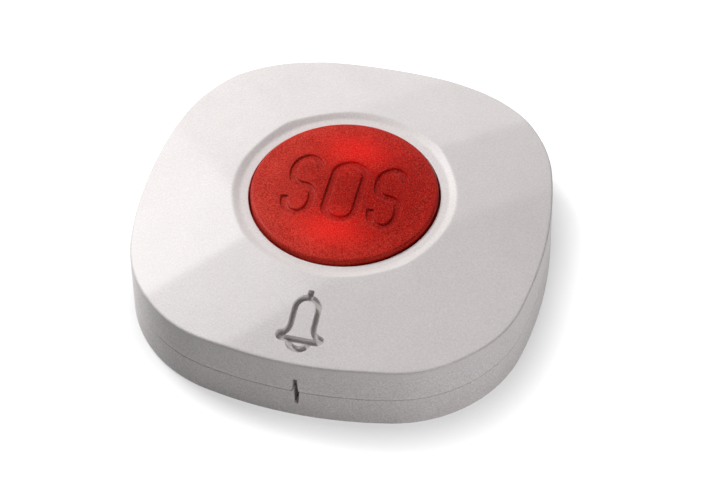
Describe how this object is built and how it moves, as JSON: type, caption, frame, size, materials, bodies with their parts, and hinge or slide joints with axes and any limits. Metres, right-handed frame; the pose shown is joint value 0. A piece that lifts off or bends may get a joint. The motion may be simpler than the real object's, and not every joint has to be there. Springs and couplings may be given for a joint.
{
  "type": "wireless panic button",
  "caption": "Palm-sized alarm call button: faceted white snap-together case with a large red sprung thumb cap, lit from behind, on a battery powered radio board.",
  "frame": {"origin": "middle of the flat back, directly under the axis of the cap", "axes": "+Z out of the back through the cap, -Y towards the prying slot in the side wall, +X to the right when the slot faces the reader"},
  "size_m": [0.0654, 0.0654, 0.0157],
  "materials": {
    "case": "fine satin texture, slightly warm white",
    "cap": "translucent red, fine satin texture",
    "spring_steel": "drawn wire, bright",
    "board": "green solder mask",
    "screw_steel": "zinc plated",
    "black_plastic": "moulded, matte",
    "tinned": "tinned, satin",
    "lamp": "clear red epoxy",
    "cell": "brushed nickel can",
    "contact": "nickel plated spring strip",
    "copper": "enamelled copper wire",
    "ceramic": "fired ceramic with tinned ends"
  },
  "bodies": {
    "root": {"front_cover": "case", "rear_cover": "case", "return_spring": "spring_steel", "main_board": "board", "board_screws": "screw_steel", "switch_base": "black_plastic", "switch_cover": "tinned", "snap_disc": "contact", "switch_terminals": "tinned", "led_upper": "lamp", "led_lower": "lamp", "coin_cell": "cell", "cell_holder": "black_plastic", "positive_contact": "contact", "negative_contact": "contact", "antenna_coil": "copper", "controller_chip": "black_plastic", "radio_chip": "black_plastic", "crystal_can": "tinned", "aerial_choke": "black_plastic", "capacitors": "ceramic", "resistors": "black_plastic"},
    "button": {"button_cap": "cap"},
    "plunger": {"switch_plunger": "black_plastic"}
  },
  "joints": [
    {"name": "button_press", "type": "slide", "parent": "root", "child": "button", "axis": [0, 0, -1], "range_m": [0, 0.0008], "stiffness_N_per_m": 600, "springref_m": -0.002, "deforming": ["return_spring"]},
    {"name": "plunger_press", "type": "slide", "parent": "root", "child": "plunger", "axis": [0, 0, -1], "range_m": [0, 0.0008]}
  ],
  "couplings": [
    {"joint": "plunger_press", "follows": "button_press", "ratio": 1}
  ]
}
